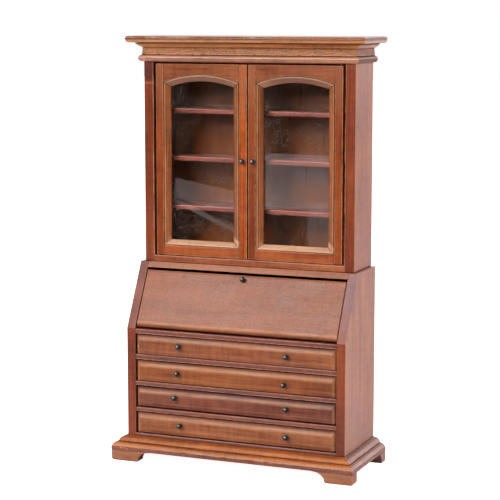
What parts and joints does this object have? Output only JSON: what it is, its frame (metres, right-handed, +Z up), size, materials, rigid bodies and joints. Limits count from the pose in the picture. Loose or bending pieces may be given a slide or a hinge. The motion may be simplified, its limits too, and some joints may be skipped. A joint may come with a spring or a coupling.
{
  "type": "miniature secretary desk with bookcase",
  "caption": "Dolls' house secretary desk: glazed bookcase with arched doors on a slant-front desk with drawers, moulded cornice, base and bracket feet.",
  "frame": {"origin": "middle of the footprint, on the floor under the feet", "axes": "+Z up, +Y towards the flat back, the doors and drawers face -Y, +X to the right of a viewer in front"},
  "size_m": [0.111, 0.0436, 0.1831],
  "materials": {
    "case_wood": "red-brown stained hardwood under satin lacquer",
    "moulding_wood": "orange-brown stained hardwood under satin lacquer, arrises slightly worn",
    "door_wood": "orange-brown stained hardwood under satin lacquer",
    "drawer_wood": "brown stained hardwood under satin lacquer, each drawer a little different",
    "lid_wood": "pinkish brown stained hardwood with a fine level grain, satin lacquer",
    "inside_wood": "dark stained thin wood, matt",
    "door_glass": "thin clear glazing with a few dust specks",
    "knob_black": "glossy black",
    "hinge_wire": "dull drawn wire"
  },
  "bodies": {
    "case": {"back_panel": "inside_wood", "base_moulding_front": "moulding_wood", "base_moulding_left": "moulding_wood", "base_moulding_right": "moulding_wood", "bottom_board": "case_wood", "cornice_front": "moulding_wood", "cornice_left": "moulding_wood", "cornice_right": "moulding_wood", "cornice_top_board": "moulding_wood", "desk_top_board": "case_wood", "drawer_divider_low": "case_wood", "drawer_divider_middle": "case_wood", "drawer_divider_top": "case_wood", "front_foot_left": "moulding_wood", "front_foot_right": "moulding_wood", "left_door_hinge_wire": "hinge_wire", "lid_hinge_rod": "hinge_wire", "lower_side_left": "case_wood", "lower_side_right": "case_wood", "right_door_hinge_wire": "hinge_wire", "shelf_bottom": "inside_wood", "shelf_middle": "inside_wood", "shelf_top": "inside_wood", "upper_bottom_board": "case_wood", "upper_side_left": "case_wood", "upper_side_right": "case_wood", "upper_top_board": "case_wood", "writing_bed": "case_wood"},
    "drawer_1": {"drawer_1_front": "drawer_wood", "drawer_1_knob_left": "knob_black", "drawer_1_knob_right": "knob_black", "drawer_1_tray": "inside_wood"},
    "drawer_2": {"drawer_2_front": "drawer_wood", "drawer_2_knob_left": "knob_black", "drawer_2_knob_right": "knob_black", "drawer_2_tray": "inside_wood"},
    "drawer_3": {"drawer_3_front": "drawer_wood", "drawer_3_knob_left": "knob_black", "drawer_3_knob_right": "knob_black", "drawer_3_tray": "inside_wood"},
    "drawer_4": {"drawer_4_front": "drawer_wood", "drawer_4_knob_left": "knob_black", "drawer_4_knob_right": "knob_black", "drawer_4_tray": "inside_wood"},
    "left_door": {"left_door_bottom_rail": "door_wood", "left_door_glass": "door_glass", "left_door_hinge_stile": "door_wood", "left_door_knob": "knob_black", "left_door_meeting_stile": "door_wood", "left_door_moulding": "door_wood", "left_door_top_rail": "door_wood"},
    "desk_lid": {"lid_knob": "knob_black", "slant_lid": "lid_wood"},
    "right_door": {"right_door_bottom_rail": "door_wood", "right_door_glass": "door_glass", "right_door_hinge_stile": "door_wood", "right_door_knob": "knob_black", "right_door_meeting_stile": "door_wood", "right_door_moulding": "door_wood", "right_door_top_rail": "door_wood"}
  },
  "joints": [
    {"name": "left_door_hinge", "type": "hinge", "parent": "case", "child": "left_door", "pos_m": [-0.0413, 0.00045, 0.13], "axis": [0, 0, -1], "range_deg": [0, 110]},
    {"name": "right_door_hinge", "type": "hinge", "parent": "case", "child": "right_door", "pos_m": [0.0413, 0.00045, 0.13], "axis": [0, 0, 1], "range_deg": [0, 110]},
    {"name": "desk_lid_hinge", "type": "hinge", "parent": "case", "child": "desk_lid", "pos_m": [0, -0.01344, 0.05971], "axis": [1, 0, 0], "range_deg": [0, 117]},
    {"name": "drawer_1_slide", "type": "slide", "parent": "case", "child": "drawer_1", "axis": [0, -1, 0], "range_m": [0, 0.024]},
    {"name": "drawer_2_slide", "type": "slide", "parent": "case", "child": "drawer_2", "axis": [0, -1, 0], "range_m": [0, 0.024]},
    {"name": "drawer_3_slide", "type": "slide", "parent": "case", "child": "drawer_3", "axis": [0, -1, 0], "range_m": [0, 0.024]},
    {"name": "drawer_4_slide", "type": "slide", "parent": "case", "child": "drawer_4", "axis": [0, -1, 0], "range_m": [0, 0.024]}
  ]
}
